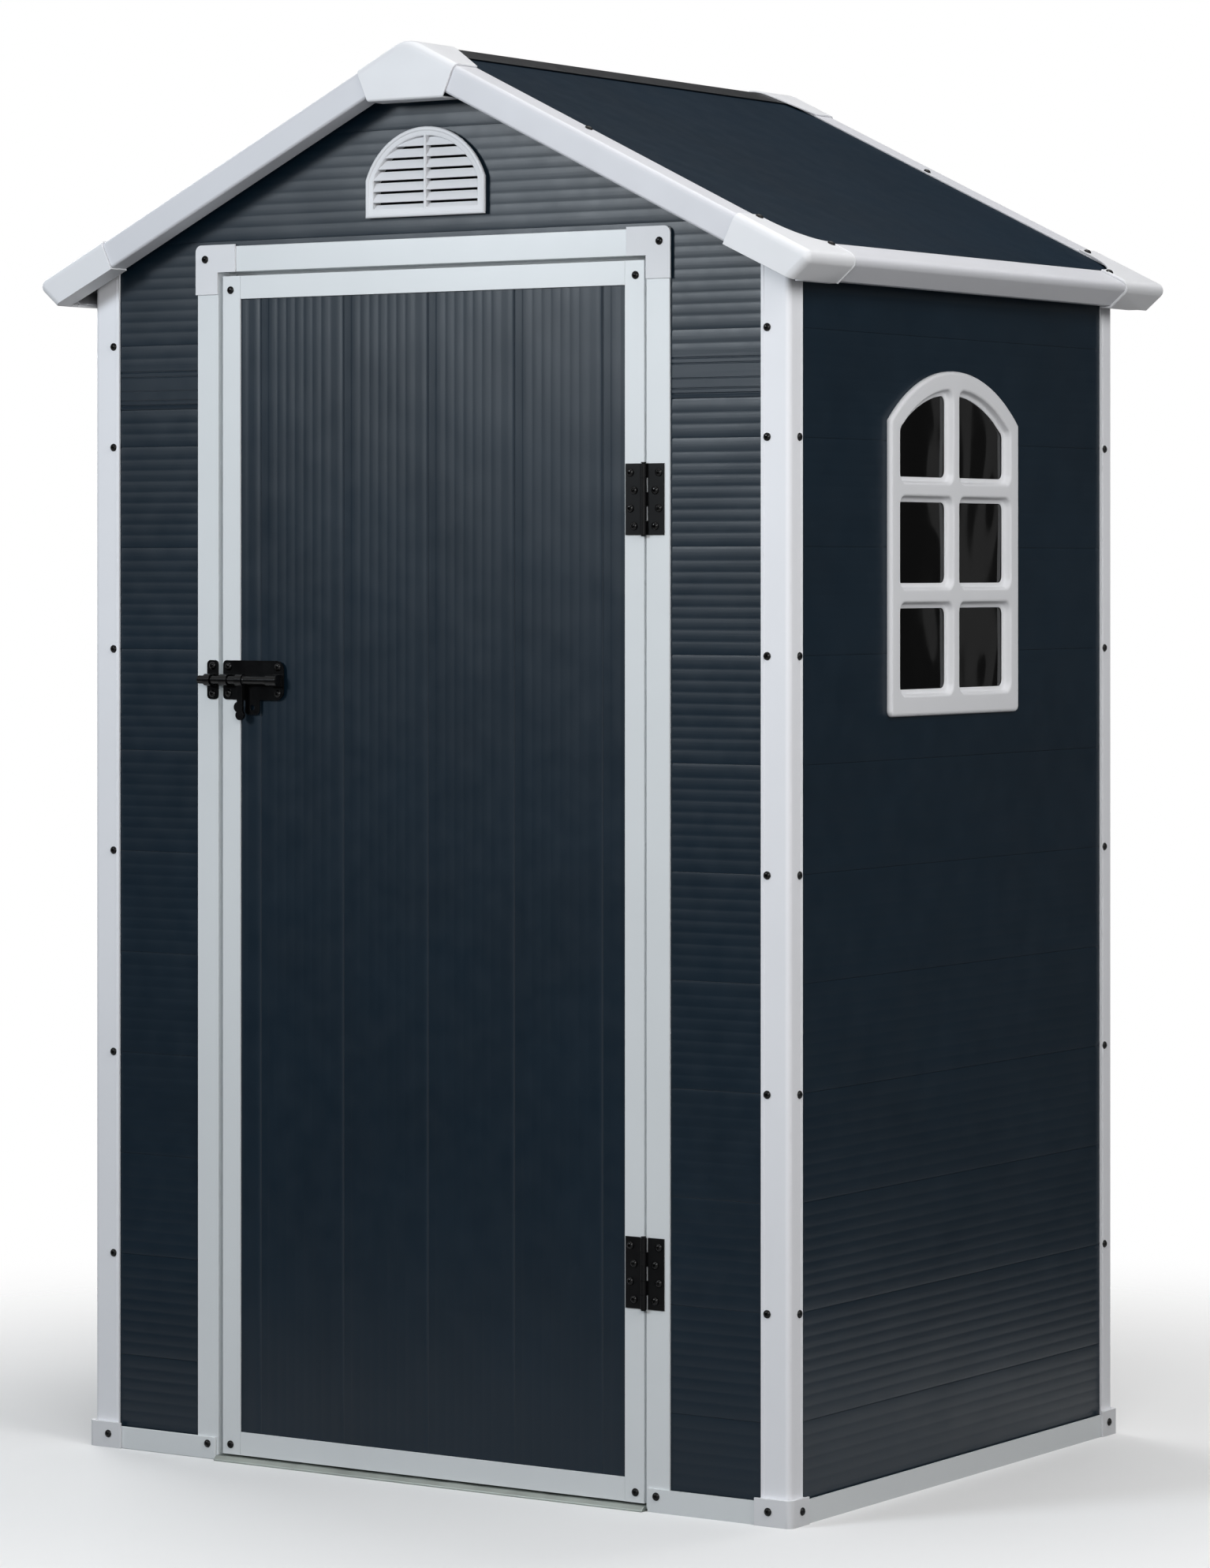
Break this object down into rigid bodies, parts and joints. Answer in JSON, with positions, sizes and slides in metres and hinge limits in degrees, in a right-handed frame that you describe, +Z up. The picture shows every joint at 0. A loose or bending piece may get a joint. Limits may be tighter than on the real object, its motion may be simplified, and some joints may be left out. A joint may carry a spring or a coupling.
{
  "type": "plastic garden shed",
  "caption": "Gable-roofed plastic plank shed with slotted corner posts, moulded roof trims, an outward-hinged door with a barrel bolt, an arched window and louvred gable vents.",
  "frame": {"origin": "on the ground under the middle of the roof's outline", "axes": "+Z up, +Y from the door wall to the back wall, +X to the right as seen from the front, where the hinges and the window are"},
  "size_m": [1.3278, 1.0154, 2.0077],
  "materials": {
    "slate_plank": "extruded polypropylene plank, finely ribbed, satin",
    "white_extrusion": "extruded white PVC, satin",
    "white_moulding": "moulded white polypropylene, satin",
    "black_steel": "black powder coat",
    "black_screw": "black coated screw heads",
    "smoked_acrylic": "thin wavy clear sheet, dark from the inside behind it",
    "galvanised_steel": "dull galvanised sheet"
  },
  "bodies": {
    "shed": {"foot_front_left": "white_moulding", "foot_front_right": "white_moulding", "foot_back_left": "white_moulding", "foot_back_right": "white_moulding", "base_rail_front_left": "white_extrusion", "base_rail_front_right": "white_extrusion", "base_rail_left": "white_extrusion", "base_rail_right": "white_extrusion", "base_rail_back": "white_extrusion", "door_threshold": "galvanised_steel", "post_front_left": "white_extrusion", "post_front_right": "white_extrusion", "post_back_left": "white_extrusion", "post_back_right": "white_extrusion", "wall_plates": "white_extrusion", "ridge_beam": "galvanised_steel", "planks_front_left": "slate_plank", "planks_front_right": "slate_plank", "planks_front_gable": "slate_plank", "planks_left": "slate_plank", "planks_right": "slate_plank", "planks_back": "slate_plank", "door_jamb_left": "white_extrusion", "door_jamb_right": "white_extrusion", "door_head": "white_extrusion", "head_caps": "white_moulding", "window_frame": "white_moulding", "window_pane": "smoked_acrylic", "window_retainer": "white_moulding", "vent_front": "white_moulding", "vent_back": "white_moulding", "roof_panel_left": "slate_plank", "roof_panel_right": "slate_plank", "ridge_strip": "slate_plank", "ridge_cap_front": "white_moulding", "ridge_cap_back": "white_moulding", "rake_front_left": "white_extrusion", "rake_front_right": "white_extrusion", "rake_back_left": "white_extrusion", "rake_back_right": "white_extrusion", "eave_left": "white_extrusion", "eave_right": "white_extrusion", "corner_cap_front_left": "white_moulding", "corner_cap_front_right": "white_moulding", "corner_cap_back_left": "white_moulding", "corner_cap_back_right": "white_moulding", "hinge_leaves_jamb": "black_steel", "hinge_pins": "black_steel", "bolt_keeper": "black_steel", "frame_screws": "black_screw"},
    "door": {"door_stile_bolt_side": "white_extrusion", "door_stile_hinge_side": "white_extrusion", "door_rail_top": "white_extrusion", "door_rail_bottom": "white_extrusion", "door_planks": "slate_plank", "hinge_leaves_door": "black_steel", "bolt_plate": "black_steel", "door_screws": "black_screw"},
    "bolt": {"bolt_rod": "black_steel"},
    "bolt_handle": {"bolt_handle": "black_steel"}
  },
  "joints": [
    {"name": "door_swing", "type": "hinge", "parent": "shed", "child": "door", "pos_m": [0.364, -0.4595, 0.85], "axis": [0, 0, 1], "range_deg": [0, 150]},
    {"name": "bolt_slide", "type": "slide", "parent": "door", "child": "bolt", "axis": [1, 0, 0], "range_m": [0, 0.036]},
    {"name": "handle_turn", "type": "hinge", "parent": "bolt", "child": "bolt_handle", "pos_m": [-0.318, -0.4662, 1.117], "axis": [-1, 0, 0], "range_deg": [0, 90]}
  ]
}
